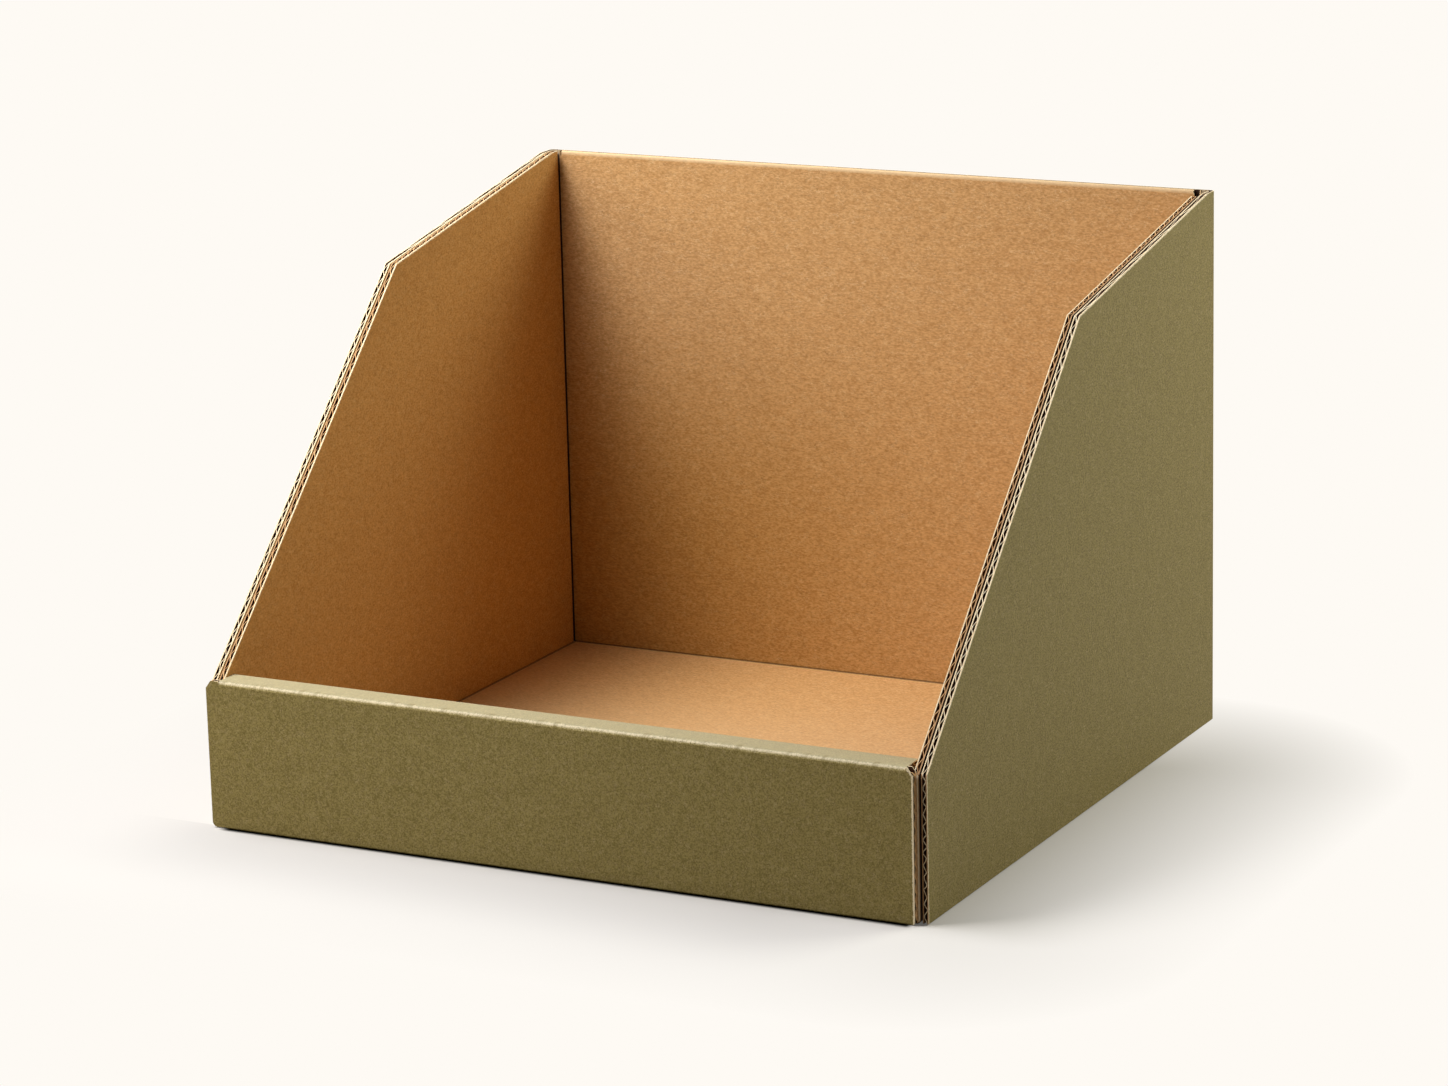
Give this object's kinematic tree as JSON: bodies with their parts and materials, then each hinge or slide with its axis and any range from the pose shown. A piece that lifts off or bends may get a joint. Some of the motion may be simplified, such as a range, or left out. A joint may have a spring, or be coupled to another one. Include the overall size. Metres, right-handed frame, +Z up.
{
  "type": "shelf-ready display box",
  "caption": "Open-fronted display box folded from one sheet of corrugated board, with sloped double side walls, a tall back and a low rolled front lip.",
  "frame": {"origin": "middle of the footprint, on the surface the box stands on", "axes": "+X to the right seen from the front, +Y from the low front to the tall back, +Z up"},
  "size_m": [0.4, 0.375, 0.29],
  "materials": {
    "board": "matt, printed green outside, bare kraft inside"
  },
  "bodies": {
    "root": {"folded_blank": "board"}
  },
  "joints": []
}
